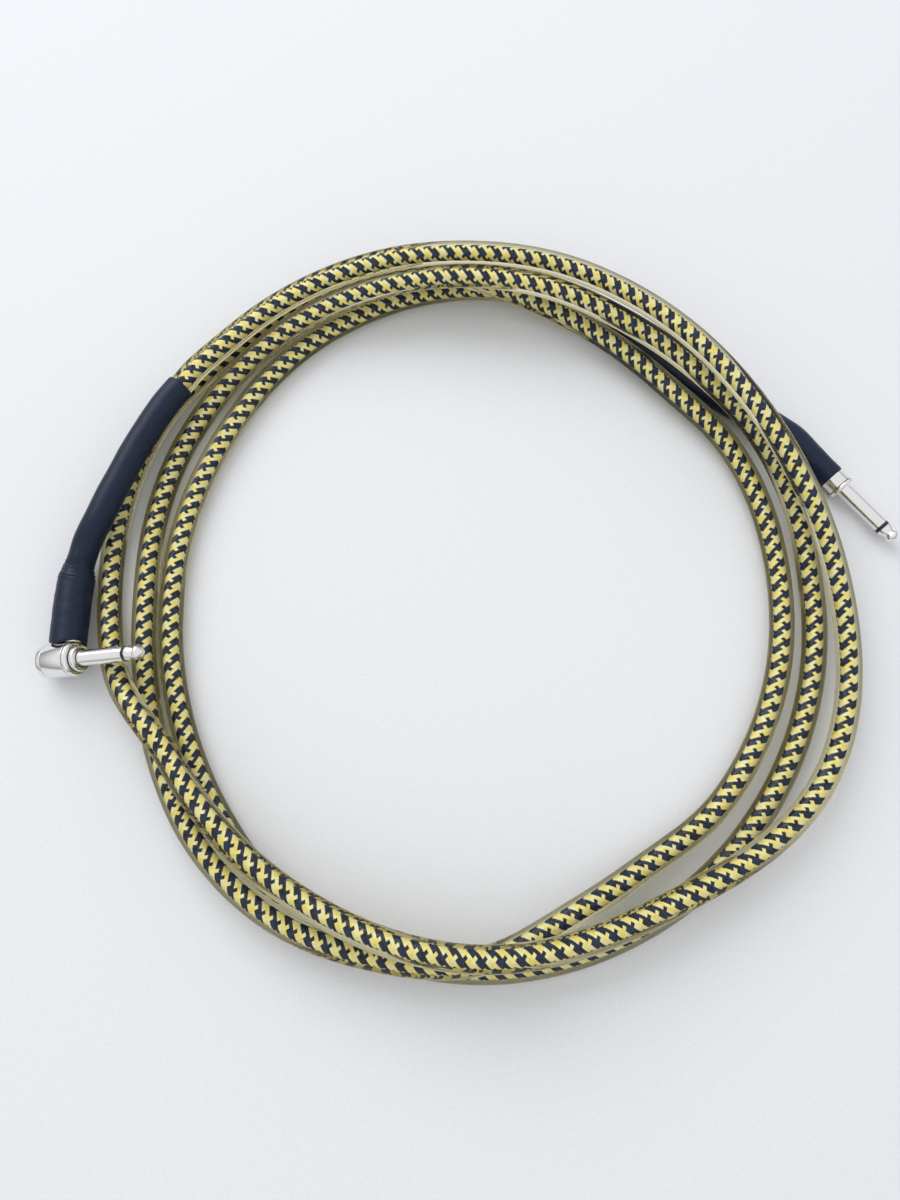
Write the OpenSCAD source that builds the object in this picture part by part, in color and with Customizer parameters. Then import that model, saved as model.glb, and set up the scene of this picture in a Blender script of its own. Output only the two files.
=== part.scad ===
// Instrument cable with one angled and one straight phone plug, put down as a flat coil.
// Millimetres. +Z is up, and the surface that the cable lies on is z = 0.

/* [Cable] */
// Outside diameter of the clear jacket
cable_d = 10; // [9.6:0.1:10.3]
// Radius of the coil, at the middle of its lanes
coil_r = 142; // [138:1:146]

/* [Plug fingers] */
// Diameter of the finger that goes into the socket
finger_d = 6.35; // [6.2:0.05:6.4]
// Length of the finger from its shoulder to the end of its tip
finger_len = 30.5; // [29.5:0.1:31.5]
// Length of the tip contact, in front of the black ring
tip_len = 7.5; // [7:0.1:8]
// Width of the black insulating ring
ring_w = 1.4; // [1:0.1:1.8]

/* [Angle plug] */
// Diameter of the round body
body_d = 14.3; // [14:0.1:14.3]
// Length of the body between its collar and its rear cap
body_len = 12.7; // [12.4:0.1:12.8]
// Diameter of the collar between the body and the finger
collar_d = 10.8; // [10:0.1:11.5]
// Length of the collar
collar_len = 2.3; // [1.8:0.1:2.6]
// Length of the rear cap that shows behind the body
cap_len = 5.6; // [5:0.1:6]
// Diameter of the flat end of the rear cap
cap_end_d = 6; // [4:0.2:8]

/* [Straight plug] */
// Diameter of the flange at the finger's shoulder
flange_d = 11.4; // [11:0.1:11.4]
// Thickness of the flange
flange_t = 2; // [1.6:0.1:2.4]
// Outside diameter of the barrel
barrel_d = 10; // [9.8:0.1:10.2]
// Length of the barrel behind the flange
barrel_len = 18; // [17:0.5:19]

/* [Sleeves] */
// Wall of the two long sleeves
long_wall = 0.7; // [0.5:0.05:0.75]
// Wall of the angle plug's short sleeve, over its neck and its long sleeve
angle_short_wall = 1.55; // [1:0.05:1.6]
// Wall of the straight plug's short sleeve, over its barrel
straight_front_wall = 0.7; // [0.5:0.05:0.7]
// Wall of the straight plug's short sleeve, over its long sleeve
straight_rear_wall = 0.8; // [0.6:0.05:0.8]

/* [Hidden] */
// Fine circles
$fn = 64;
tube_sides = 12;
coil_sides = 6;
coil_rings_per_turn = 24;
ring_step = 360 / coil_rings_per_turn;
jacket_r = cable_d / 2;
long_r = jacket_r + long_wall;

// The coil's middle.
coil_mid = [-1.5, -46];

// Where the cable lies in the coil: angle from its left side through the far side, then how far
// out from the middle lane and how high it lies, both in tenths of the cable's diameter.
lanes = [
    [30, 9, 16],
    [45, 10, 16],
    [60, 10, 18],
    [75, 7, 23],
    [90, 3, 27],
    [105, 2, 27],
    [120, 0, 26],
    [135, -4, 28],
    [150, -5, 27],
    [165, -1, 21],
    [180, 6, 13],
    [210, 14, 12],
    [240, 2, 18],
    [270, 1, 27],
    [300, -3, 20],
    [330, -4, 16],
    [338, 1, 16],
    [345, 6, 10],
    [352, 8, 6],
    [360, 9, 5],
    [390, 14, 5],
    [405, 12, 5],
    [420, 14, 6],
    [435, 12, 12],
    [450, -2, 16],
    [465, -10, 13],
    [480, -15, 10],
    [495, -18, 9],
    [510, -15, 7],
    [540, -15, 5],
    [570, -13, 5],
    [585, -12, 5],
    [600, -13, 7],
    [615, -8, 12],
    [630, 3, 16],
    [645, 6, 16],
    [660, 8, 14],
    [675, 6, 10],
    [690, 1, 6],
    [705, -4, 5],
    [720, -6, 5],
    [750, -1, 5],
    [765, 0, 9],
    [780, 0, 14],
    [795, -4, 21],
    [810, -8, 26],
    [825, -9, 25],
    [840, -8, 19],
    [855, -8, 18],
    [870, -5, 15],
    [885, -3, 10],
    [900, -2, 5],
    [930, 1, 5],
    [960, 5, 5],
    [990, 7, 5],
    [1020, 2, 5],
    [1035, -5, 5],
    [1050, -11, 5],
    [1065, -15, 5],
    [1080, -17, 5],
    [1110, -15, 5],
    [1140, -6, 5],
    [1170, 0, 5],
    [1200, -4, 6]
];
first_ring_angle = 45;
last_ring_angle = 1185;

// A point of a route, by its angle, how far out and how high it lies, as in a row of the lanes.
function at(angle, out, height) =
    let (radius = coil_r + out * cable_d / 10)
    [
        coil_mid[0] - radius * cos(angle),
        coil_mid[1] + radius * sin(angle),
        height * cable_d / 10
    ];

// The cable's ends under the sleeves, from each plug to the coil.
angle_tilt = 22;
angle_entry = at(-11.31, 24.74, 10);
neck_reach = 16;
angle_route = [
    angle_entry + [0, neck_reach, 0],
    angle_entry + [0, neck_reach + cable_d, 0],
    at(0, 21.1, 10),
    at(2.11, 20.61, 10.6),
    at(4.28, 18.95, 12),
    at(6.5, 17.02, 14.2),
    at(9.19, 14.51, 16),
    at(12.68, 12.88, 16.5),
    at(16.25, 11.64, 16.5),
    at(20.27, 10.97, 16.5),
    at(24.8, 10.57, 16.5),
    at(30.67, 10.53, 16.5),
    at(34.42, 10.14, 16.5)
];
angle_short_last = 3;

straight_heading = -50;
shoulder_spot = at(164.9, 21.86, 0);
straight_dir = [cos(straight_heading), sin(straight_heading), 0];
straight_shoulder = shoulder_spot + [0, 0, flange_d / 2];
barrel_back = flange_t + barrel_len;
straight_route = [
    straight_shoulder - straight_dir * barrel_back,
    straight_shoulder - straight_dir * (barrel_back + cable_d),
    at(152.46, 8.55, 6.3),
    at(149.94, 5.32, 6.5),
    at(147.43, 2.17, 6.3),
    at(143.82, -1.39, 6),
    at(137.53, -5.75, 5.8),
    at(130.51, -7.31, 5.8),
    at(123.75, -6.1, 5.8),
    at(118.85, -2.94, 5.8),
    at(114.73, -2.17, 5.8)
];
straight_short_last = 3;
sleeve_gap = 3;
sleeve_clearance = 0.2;

// ---- Sweeping a tube along a route ----

function unit(v) = v / norm(v);

// The direction of a route at one of its points, level with the smooth curve through them.
function heading(route, i) =
    i == 0 ? unit(route[1] - route[0])
    : i == len(route) - 1 ? unit(route[i] - route[i - 1])
    : unit(unit(route[i + 1] - route[i]) + unit(route[i] - route[i - 1]));

function side_of(ahead) = unit(cross(ahead, [0, 0, 1]));
function up_of(ahead) = cross(side_of(ahead), ahead);

// Points round the route at point i, the first of them straight below it.
function ring(route, i, radius, sides) =
    let (ahead = heading(route, i))
    [for (k = [0:sides - 1])
        route[i] + radius * (sin(360 * k / sides) * side_of(ahead)
            - cos(360 * k / sides) * up_of(ahead))];

function flatten(lists) = [for (list = lists) each list];

// Two triangles for each side of the tube between ring i and the next.
function wall_faces(rings, sides, base, outward) =
    [for (i = [0:rings - 2], k = [0:sides - 1])
        let (
            a = base + i * sides + k,
            b = base + i * sides + (k + 1) % sides,
            c = b + sides,
            d = a + sides
        )
        each outward ? [[a, b, c], [a, c, d]] : [[a, c, b], [a, d, c]]];

function fan(base, sides, ahead) =
    [for (k = [1:sides - 2])
        ahead ? [base, base + k, base + k + 1] : [base, base + k + 1, base + k]];

function rim(outer, inner, sides, ahead) =
    [for (k = [0:sides - 1])
        let (n = (k + 1) % sides)
        each ahead
            ? [[outer + k, outer + n, inner + n], [outer + k, inner + n, inner + k]]
            : [[outer + k, inner + n, outer + n], [outer + k, inner + k, inner + n]]];

// A solid tube along the whole route.
module solid_tube(route, radius, sides) {
    rings = len(route);
    points = flatten([for (i = [0:rings - 1]) ring(route, i, radius, sides)]);
    faces = concat(
        wall_faces(rings, sides, 0, true),
        fan(0, sides, false),
        fan((rings - 1) * sides, sides, true)
    );
    polyhedron(points, faces);
}

// A sleeve along part of a route: one outer and one inner radius at each of its points.
module sleeve(route, first, last, outer, inner, sides) {
    rings = last - first + 1;
    outer_points = flatten([for (i = [first:last]) ring(route, i, outer[i - first], sides)]);
    inner_points = flatten([for (i = [first:last]) ring(route, i, inner[i - first], sides)]);
    half = rings * sides;
    faces = concat(
        wall_faces(rings, sides, 0, true),
        wall_faces(rings, sides, half, false),
        rim(0, half, sides, false),
        rim(half - sides, 2 * half - sides, sides, true)
    );
    polyhedron(concat(outer_points, inner_points), faces);
}

// ---- The coil ----

// The value of column c of the lanes at an angle, on a smooth curve through their rows.
function lane_slope(i, c) =
    i == 0 || i == len(lanes) - 1 ? 0
    : (lanes[i + 1][c] - lanes[i - 1][c]) / (lanes[i + 1][0] - lanes[i - 1][0]);
function lane_row(angle) = max([for (i = [0:len(lanes) - 2]) lanes[i][0] <= angle ? i : 0]);
function lane_value(angle, c) =
    let (
        i = lane_row(angle),
        span = lanes[i + 1][0] - lanes[i][0],
        u = (angle - lanes[i][0]) / span
    )
    (2 * pow(u, 3) - 3 * pow(u, 2) + 1) * lanes[i][c]
    + (pow(u, 3) - 2 * pow(u, 2) + u) * span * lane_slope(i, c)
    + (3 * pow(u, 2) - 2 * pow(u, 3)) * lanes[i + 1][c]
    + (pow(u, 3) - pow(u, 2)) * span * lane_slope(i + 1, c);

function coil_point(angle) = at(angle, lane_value(angle, 1), max(5, lane_value(angle, 2)));

angle_mouth = angle_route[len(angle_route) - 1];
straight_mouth = straight_route[len(straight_route) - 1];

// Straight for one diameter out of each sleeve, and round the coil between them.
coil_route = concat(
    [angle_mouth, angle_mouth + cable_d * heading(angle_route, len(angle_route) - 1)],
    [for (angle = [first_ring_angle:ring_step:last_ring_angle]) coil_point(angle)],
    [
        straight_mouth + cable_d * heading(straight_route, len(straight_route) - 1),
        straight_mouth
    ]
);

// The least gap between stretches of the coil that are not neighbours along it.
gap_step = 5;
gap_far = 60 / gap_step;
gap_points = [for (angle = [first_ring_angle:gap_step:last_ring_angle]) coil_point(angle)];
least_gap = min([for (i = [0:len(gap_points) - 1])
    for (j = [i + gap_far:1:len(gap_points) - 1])
        norm(gap_points[i] - gap_points[j])]) - cable_d;
echo(least_gap_of_the_coil_to_itself_mm = least_gap);

module cable() {
    color("khaki")
        solid_tube(coil_route, jacket_r, coil_sides);
}

module angle_cable_end() {
    color("khaki")
        solid_tube(angle_route, jacket_r, tube_sides);
}

module straight_cable_end() {
    color("khaki")
        solid_tube(straight_route, jacket_r, tube_sides);
}

// ---- Sleeves ----

// A faceted bore that a round piece of this radius just fits into.
function round_fit(radius) = radius / cos(180 / tube_sides);

module angle_long_sleeve() {
    last = len(angle_route) - 1;
    color("dimgray")
        sleeve(
            angle_route, 0, last,
            [for (i = [0:last]) long_r],
            [for (i = [0:last]) jacket_r],
            tube_sides
        );
}

// The short sleeve's route starts beside the round body.
angle_short_route = concat([angle_entry + [0, body_d / 2 + sleeve_clearance, 0]], angle_route);

module angle_short_sleeve() {
    last = angle_short_last + 1;
    outer_r = long_r + angle_short_wall;
    color("black")
        sleeve(
            angle_short_route, 0, last,
            [for (i = [0:last]) outer_r],
            [round_fit(long_r), round_fit(long_r), for (i = [2:last]) long_r],
            tube_sides
        );
}

module straight_long_sleeve() {
    last = len(straight_long_route) - 1;
    color("dimgray")
        sleeve(
            straight_long_route, 1, last,
            [for (i = [1:last]) long_r],
            [for (i = [1:last]) jacket_r],
            tube_sides
        );
}

// The long sleeve starts a little behind the barrel, on the straight stretch of the cable.
straight_long_route = concat(
    [straight_route[0], straight_route[0] - straight_dir * sleeve_gap],
    [for (i = [1:len(straight_route) - 1]) straight_route[i]]
);

// The short sleeve starts on the barrel, in front of the cable's end.
barrel_show = 4.7;
straight_short_route = concat(
    [straight_shoulder - straight_dir * (flange_t + barrel_show)],
    straight_long_route
);

module straight_short_sleeve() {
    last = straight_short_last + 2;
    front_r = barrel_d / 2 + straight_front_wall;
    rear_r = long_r + straight_rear_wall;
    barrel_fit = round_fit(barrel_d / 2);
    cable_fit = max(barrel_fit, round_fit(jacket_r));
    color("black")
        sleeve(
            straight_short_route, 0, last,
            [front_r, max(front_r, cable_fit + straight_front_wall), for (i = [2:last]) rear_r],
            [barrel_fit, cable_fit, for (i = [2:last]) long_r],
            tube_sides
        );
}

// ---- Plug pieces, along +X from the finger's shoulder at x = 0 ----

// A cylinder along X between two places.
module rod(x0, x1, radius) {
    translate([x0, 0, 0])
        rotate([0, 90, 0])
            cylinder(h = x1 - x0, r = radius);
}

finger_r = finger_d / 2;
pin_r = 1.2;
liner_r = 2;
ring_inset = 0.05;
ring_front = finger_len - tip_len;
ring_back = ring_front - ring_w;
band_len = 1.4;
groove_r = 2.4;

module place_angle_plug() {
    translate(angle_entry)
        rotate([0, -angle_tilt, 0])
            translate([neck_back, 0, 0])
                children();
}

module place_straight_plug() {
    translate(straight_shoulder)
        rotate([0, 0, straight_heading])
            children();
}

// Tip contact: band, groove and ball, with the pin that runs back through the shaft.
module tip_shape(pin_back) {
    ball_mid = finger_len - finger_r;
    rod(pin_back, ring_front + 0.1, pin_r);
    rod(ring_front, ring_front + band_len, finger_r);
    rod(ring_front + band_len - 0.1, ball_mid, groove_r);
    translate([ball_mid, 0, 0])
        sphere(r = finger_r);
}

module tube_shape(x0, x1, outer_r, inner_r) {
    difference() {
        rod(x0, x1, outer_r);
        rod(x0 - 1, x1 + 1, inner_r);
    }
}

module tip_ring_shape() {
    tube_shape(ring_back, ring_front, finger_r - ring_inset, pin_r);
}

// Shaft of the finger, its shoulder piece and the spigot that screws into the plug.
module shaft_shape(shoulder_r, shoulder_len, spigot_r, spigot_back) {
    difference() {
        union() {
            rod(-shoulder_len, ring_back, finger_r);
            rod(-shoulder_len, 0, shoulder_r);
            rod(spigot_back, -shoulder_len + 0.1, spigot_r);
        }
        rod(spigot_back - 1, ring_back + 1, liner_r);
    }
}

module insulating_tube_shape(back) {
    tube_shape(back, ring_back, liner_r, pin_r);
}

// ---- Angle plug ----

front_wall = 1.7;
body_front = -collar_len;
cavity_front = body_front - front_wall;
body_back = body_front - body_len;
cap_back = body_back - cap_len;
cap_edge = 2.2;
cap_rim = body_back - cap_edge;
body_wall = 1.15;
cavity_r = body_d / 2 - body_wall;
spigot_r = 4.2;
neck_bore_r = 4.2;
neck_set_back = 2.5;
neck_back = long_r + neck_set_back;
cap_skirt = 2.3;
cap_skirt_wall = 1;
washer_t = 1.2;
angle_washer_r = 3.6;
angle_washer_back = cavity_front - washer_t;
lug_t = 0.6;
lug_r = 2.6;
angle_lug_back = angle_washer_back - lug_t;
pin_stub = 0.5;
tongue_y = -1.8;
tongue_t = 0.8;
tongue_half = 1.2;
ground_top = -4;
ground_len = 7.8;
ground_half = 2.5;
core_r = 1.6;
wire_r = 0.6;
shield_r = 0.8;
core_reach = 2.4;

module angle_tip() {
    color("silver")
        place_angle_plug()
            tip_shape(angle_lug_back - pin_stub);
}

module angle_tip_ring() {
    color("black")
        place_angle_plug()
            tip_ring_shape();
}

module angle_insulating_tube() {
    color("ivory")
        place_angle_plug()
            insulating_tube_shape(cavity_front);
}

module angle_shaft() {
    color("silver")
        place_angle_plug()
            shaft_shape(collar_d / 2, collar_len, spigot_r, cavity_front);
}

// Round body with the side neck that the cable comes in by.
module angle_body() {
    color("gainsboro")
        place_angle_plug()
            difference() {
                union() {
                    rod(body_back, body_front, body_d / 2);
                    translate([-neck_back, 0, 0])
                        rotate([-90, 0, 0])
                            cylinder(h = neck_reach, r = long_r);
                }
                rod(body_back - 1, cavity_front, cavity_r);
                rod(cavity_front - 1, body_front + 1, spigot_r);
                translate([-neck_back, 0, 0])
                    rotate([-90, 0, 0])
                        cylinder(h = neck_reach + 1, r = neck_bore_r);
            }
}

// Rear cap: a bevelled disc with a skirt that screws into the body.
module angle_cap() {
    rim_r = body_d / 2;
    color("gainsboro")
        place_angle_plug()
            union() {
                rod(cap_rim, body_back, rim_r);
                translate([cap_rim + 0.01, 0, 0])
                    rotate([0, -90, 0])
                        cylinder(h = cap_rim + 0.01 - cap_back, r1 = rim_r, r2 = cap_end_d / 2);
                difference() {
                    rod(body_back - 0.1, body_back + cap_skirt, cavity_r);
                    rod(body_back - 0.05, body_back + cap_skirt + 1, cavity_r - cap_skirt_wall);
                }
            }
}

module angle_washer() {
    color("saddlebrown")
        place_angle_plug()
            tube_shape(angle_washer_back, cavity_front, angle_washer_r, pin_r);
}

// Tip terminal: a washer round the pin and a tongue that the centre wire is soldered to.
module angle_tip_lug() {
    color("gold")
        place_angle_plug()
            union() {
                tube_shape(angle_lug_back, angle_washer_back, lug_r, pin_r);
                angle_tongue();
            }
}

module angle_tongue() {
    tongue_back = -neck_back - tongue_half;
    translate([tongue_back, tongue_y - tongue_t, -tongue_half])
        cube([angle_lug_back + 0.1 - tongue_back, tongue_t, 2 * tongue_half]);
}

module angle_ground_lug() {
    color("gold")
        place_angle_plug()
            translate([cavity_front - ground_len, -ground_half, ground_top - lug_t])
                cube([ground_len, 2 * ground_half, lug_t]);
}

// Centre conductor: insulated through the neck, bare up to the tongue.
module angle_core_shape() {
    translate([-neck_back, 0, 0])
        rotate([-90, 0, 0]) {
            translate([0, 0, core_reach])
                cylinder(h = neck_reach - core_reach, r = core_r);
            translate([0, 0, tongue_y])
                cylinder(h = core_reach + 0.1 - tongue_y, r = wire_r);
        }
}

module angle_core() {
    color("white")
        place_angle_plug()
            angle_core_shape();
}

// The cable's shield, twisted into one wire down to the ground terminal.
module angle_shield_wire() {
    color("peru")
        place_angle_plug()
            translate([-neck_back, 0, ground_top + shield_r])
                rotate([-90, 0, 0])
                    cylinder(h = neck_reach, r = shield_r);
}

solder_r = 1.1;
solder_len = 1.2;

module angle_solder() {
    color("lightgray")
        place_angle_plug()
            difference() {
                translate([-neck_back, tongue_y, 0])
                    rotate([-90, 0, 0])
                        cylinder(h = solder_len, r1 = solder_r, r2 = wire_r + 0.1);
                angle_core_shape();
            }
}

// ---- Straight plug ----

barrel_wall = 0.7;
bore_r = barrel_d / 2 - barrel_wall;
straight_spigot_len = 5;
straight_spigot_back = -flange_t - straight_spigot_len;
straight_washer_r = 2.9;
straight_washer_t = 1;
straight_washer_back = straight_spigot_back - straight_washer_t;
straight_lug_back = straight_washer_back - lug_t;
straight_tongue_len = 4.4;
straight_tongue_z = 1;
straight_ground_top = -3;
straight_ground_len = 8;
straight_ground_half = 1.8;
straight_core_r = 1.5;
straight_shield_r = 0.7;
insulated_len = 4;
wire_short = 1.4;
wire_front = straight_lug_back - wire_short;
straight_wire_gap = 0.2;
straight_wire_z = straight_tongue_z - wire_r - straight_wire_gap;
straight_solder_len = 1.8;
solder_back = 1.6;

module straight_tip() {
    color("silver")
        place_straight_plug()
            tip_shape(straight_lug_back - pin_stub);
}

module straight_tip_ring() {
    color("black")
        place_straight_plug()
            tip_ring_shape();
}

module straight_insulating_tube() {
    color("ivory")
        place_straight_plug()
            insulating_tube_shape(straight_spigot_back);
}

module straight_shaft() {
    color("silver")
        place_straight_plug()
            shaft_shape(flange_d / 2, flange_t, bore_r, straight_spigot_back);
}

module straight_barrel() {
    color("gainsboro")
        place_straight_plug()
            tube_shape(-barrel_back, -flange_t, barrel_d / 2, bore_r);
}

module straight_washer() {
    color("saddlebrown")
        place_straight_plug()
            tube_shape(straight_washer_back, straight_spigot_back, straight_washer_r, pin_r);
}

module straight_tip_lug() {
    color("gold")
        place_straight_plug()
            union() {
                tube_shape(straight_lug_back, straight_washer_back, lug_r, pin_r);
                translate([straight_lug_back - straight_tongue_len, -tongue_half, straight_tongue_z])
                    cube([straight_tongue_len + 0.1, 2 * tongue_half, lug_t]);
            }
}

module straight_ground_lug() {
    color("gold")
        place_straight_plug()
            translate([
                straight_spigot_back - straight_ground_len,
                -straight_ground_half,
                straight_ground_top - lug_t
            ])
                cube([straight_ground_len, 2 * straight_ground_half, lug_t]);
}

module straight_core_shape() {
    insulated_front = -barrel_back + insulated_len;
    rod(-barrel_back, insulated_front, straight_core_r);
    translate([0, 0, straight_wire_z])
        rod(insulated_front - 0.1, wire_front, wire_r);
}

module straight_core() {
    color("white")
        place_straight_plug()
            straight_core_shape();
}

module straight_shield_wire() {
    color("peru")
        place_straight_plug()
            translate([0, 0, straight_ground_top + straight_shield_r])
                rod(-barrel_back, straight_spigot_back - straight_ground_len / 2, straight_shield_r);
}

module straight_solder() {
    color("lightgray")
        place_straight_plug()
            difference() {
                translate([wire_front - solder_back, 0, straight_tongue_z - straight_solder_len])
                    cylinder(h = straight_solder_len, r1 = solder_r - 0.2, r2 = solder_r);
                straight_core_shape();
            }
}

cable();
angle_cable_end();
straight_cable_end();
angle_tip();
angle_tip_ring();
angle_insulating_tube();
angle_shaft();
angle_body();
angle_cap();
angle_washer();
angle_tip_lug();
angle_ground_lug();
angle_core();
angle_shield_wire();
angle_solder();
angle_short_sleeve();
angle_long_sleeve();
straight_tip();
straight_tip_ring();
straight_insulating_tube();
straight_shaft();
straight_barrel();
straight_washer();
straight_tip_lug();
straight_ground_lug();
straight_core();
straight_shield_wire();
straight_solder();
straight_short_sleeve();
straight_long_sleeve();
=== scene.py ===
import math

import bmesh
import bpy
from bpy.props import FloatProperty, FloatVectorProperty, IntProperty, PointerProperty
from bpy.types import Operator, Panel, PropertyGroup
from mathutils import Matrix, Vector, noise


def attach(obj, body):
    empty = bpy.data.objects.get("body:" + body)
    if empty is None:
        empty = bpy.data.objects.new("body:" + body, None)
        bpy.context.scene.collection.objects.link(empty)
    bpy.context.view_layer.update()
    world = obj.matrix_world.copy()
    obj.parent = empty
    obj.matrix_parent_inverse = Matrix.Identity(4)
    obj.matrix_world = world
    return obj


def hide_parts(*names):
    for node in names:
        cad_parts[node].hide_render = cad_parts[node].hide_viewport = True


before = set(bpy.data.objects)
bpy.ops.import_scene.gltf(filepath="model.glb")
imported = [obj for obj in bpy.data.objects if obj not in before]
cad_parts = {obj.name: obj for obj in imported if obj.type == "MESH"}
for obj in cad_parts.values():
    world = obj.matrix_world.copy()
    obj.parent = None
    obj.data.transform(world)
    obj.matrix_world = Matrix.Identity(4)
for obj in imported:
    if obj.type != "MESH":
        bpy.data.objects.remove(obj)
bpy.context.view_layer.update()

bl_info = {
    "name": "Instrument Cable",
    "version": (1, 0, 0),
    "blender": (4, 5, 0),
    "location": "View3D > Sidebar > Cable",
    "description": "Coiled instrument cable with an angled and a straight phone plug",
    "category": "Add Mesh",
}

BODY = "root"

# ---------------------------------------------------------------------------
# Route of the cable, in metres, the same points as the solids follow
# ---------------------------------------------------------------------------

CABLE_D = 0.010
COIL_MID = (-0.0015, -0.046)
COIL_R = 0.142
FIRST_TURN_ANGLE = 45
LAST_TURN_ANGLE = 1185
TURN_STEP = 5

# Angle round the coil, then offset from the middle lane and height of the cable's
# middle, both in tenths of its diameter.
LANE_UNIT = CABLE_D / 10
OFFSET, HEIGHT = 1, 2
LANES = [
    (30, 9, 16),
    (45, 10, 16),
    (60, 10, 18),
    (75, 7, 23),
    (90, 3, 27),
    (105, 2, 27),
    (120, 0, 26),
    (135, -4, 28),
    (150, -5, 27),
    (165, -1, 21),
    (180, 6, 13),
    (210, 14, 12),
    (240, 2, 18),
    (270, 1, 27),
    (300, -3, 20),
    (330, -4, 16),
    (338, 1, 16),
    (345, 6, 10),
    (352, 8, 6),
    (360, 9, 5),
    (390, 14, 5),
    (405, 12, 5),
    (420, 14, 6),
    (435, 12, 12),
    (450, -2, 16),
    (465, -10, 13),
    (480, -15, 10),
    (495, -18, 9),
    (510, -15, 7),
    (540, -15, 5),
    (570, -13, 5),
    (585, -12, 5),
    (600, -13, 7),
    (615, -8, 12),
    (630, 3, 16),
    (645, 6, 16),
    (660, 8, 14),
    (675, 6, 10),
    (690, 1, 6),
    (705, -4, 5),
    (720, -6, 5),
    (750, -1, 5),
    (765, 0, 9),
    (780, 0, 14),
    (795, -4, 21),
    (810, -8, 26),
    (825, -9, 25),
    (840, -8, 19),
    (855, -8, 18),
    (870, -5, 15),
    (885, -3, 10),
    (900, -2, 5),
    (930, 1, 5),
    (960, 5, 5),
    (990, 7, 5),
    (1020, 2, 5),
    (1035, -5, 5),
    (1050, -11, 5),
    (1065, -15, 5),
    (1080, -17, 5),
    (1110, -15, 5),
    (1140, -6, 5),
    (1170, 0, 5),
    (1200, -4, 6),
]

# From the angle plug's neck to the coil. The entry is where the neck's line meets the plug's.
ANGLE_ENTRY = (-0.165, -0.0787, 0.010)
ANGLE_ROUTE = [
    (-0.165, -0.0627, 0.010),
    (-0.165, -0.0527, 0.010),
    (-0.1646, -0.046, 0.010),
    (-0.164, -0.040, 0.0106),
    (-0.162, -0.034, 0.012),
    (-0.1595, -0.028, 0.0142),
    (-0.156, -0.021, 0.016),
    (-0.1526, -0.012, 0.0165),
    (-0.149, -0.003, 0.0165),
    (-0.145, 0.007, 0.0165),
    (-0.140, 0.018, 0.0165),
    (-0.1327, 0.0318, 0.0165),
    (-0.127, 0.040, 0.0165),
]

# From the straight plug's barrel to the coil. The shoulder is where its finger starts.
STRAIGHT_HEADING = math.radians(-50)
STRAIGHT_DIR = Vector((math.cos(STRAIGHT_HEADING), math.sin(STRAIGHT_HEADING), 0))
STRAIGHT_SHOULDER = Vector((0.1567, -0.0033, 0.0057))
BARREL_BACK = 0.020
STRAIGHT_ROUTE = [
    tuple(STRAIGHT_SHOULDER - STRAIGHT_DIR * BARREL_BACK),
    tuple(STRAIGHT_SHOULDER - STRAIGHT_DIR * (BARREL_BACK + CABLE_D)),
    (0.132, 0.0236, 0.0063),
    (0.126, 0.0278, 0.0065),
    (0.120, 0.0316, 0.0063),
    (0.112, 0.037, 0.006),
    (0.099, 0.046, 0.0058),
    (0.086, 0.0564, 0.0058),
    (0.074, 0.067, 0.0058),
    (0.0656, 0.0758, 0.0058),
    (0.057, 0.081, 0.0058),
]

PATH_STEP = 0.003


def curve_between(a, leave, b, arrive, u):
    """A smooth curve from a to b at a share u of the way, with its slopes at both ends."""
    return (
        (2 * u**3 - 3 * u**2 + 1) * a
        + (u**3 - 2 * u**2 + u) * leave
        + (3 * u**2 - 2 * u**3) * b
        + (u**3 - u**2) * arrive
    )


def lane_slope(i, column):
    """Slope of a lane column at row i, by the angle."""
    if i == 0 or i == len(LANES) - 1:
        return 0.0
    before, after = LANES[i - 1], LANES[i + 1]
    return (after[column] - before[column]) / (after[0] - before[0])


def lane_value(angle, column):
    """A lane column at any angle, on the smooth curve through its rows."""
    i = max(k for k in range(len(LANES) - 1) if LANES[k][0] <= angle)
    start, end = LANES[i], LANES[i + 1]
    span = end[0] - start[0]
    return curve_between(
        start[column],
        span * lane_slope(i, column),
        end[column],
        span * lane_slope(i + 1, column),
        (angle - start[0]) / span,
    )


def coil_point(angle):
    """Middle of the cable at an angle round the coil."""
    radius = COIL_R + lane_value(angle, OFFSET) * LANE_UNIT
    height = max(CABLE_D / 2, lane_value(angle, HEIGHT) * LANE_UNIT)
    turn = math.radians(angle)
    return Vector(
        (COIL_MID[0] - radius * math.cos(turn), COIL_MID[1] + radius * math.sin(turn), height)
    )


def smooth_line(points, step):
    """Points about a step apart on a smooth curve through the given ones."""
    points = [Vector(p) for p in points]
    line = []
    for i in range(len(points) - 1):
        a, b = points[i], points[i + 1]
        before = points[i - 1] if i else a - (b - a)
        after = points[i + 2] if i + 2 < len(points) else b + (b - a)
        reach = (b - a).length
        leave = (b - before) * (reach / (reach + (a - before).length))
        arrive = (after - a) * (reach / (reach + (after - b).length))
        count = max(1, round(reach / step))
        for k in range(count):
            line.append(curve_between(a, leave, b, arrive, k / count))
    line.append(points[-1])
    return line


def cable_points():
    """The whole cable's route: angle plug, coil, straight plug."""
    first, last = Vector(ANGLE_ROUTE[-1]), Vector(STRAIGHT_ROUTE[-1])
    out = (first - Vector(ANGLE_ROUTE[-2])).normalized()
    back = (last - Vector(STRAIGHT_ROUTE[-2])).normalized()
    turns = [
        coil_point(angle)
        for angle in range(FIRST_TURN_ANGLE, LAST_TURN_ANGLE + 1, TURN_STEP)
    ]
    return (
        [Vector(p) for p in ANGLE_ROUTE]
        + [first + out * CABLE_D]
        + turns
        + [last + back * CABLE_D, last]
        + [Vector(p) for p in reversed(STRAIGHT_ROUTE[:-1])]
    )


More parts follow.
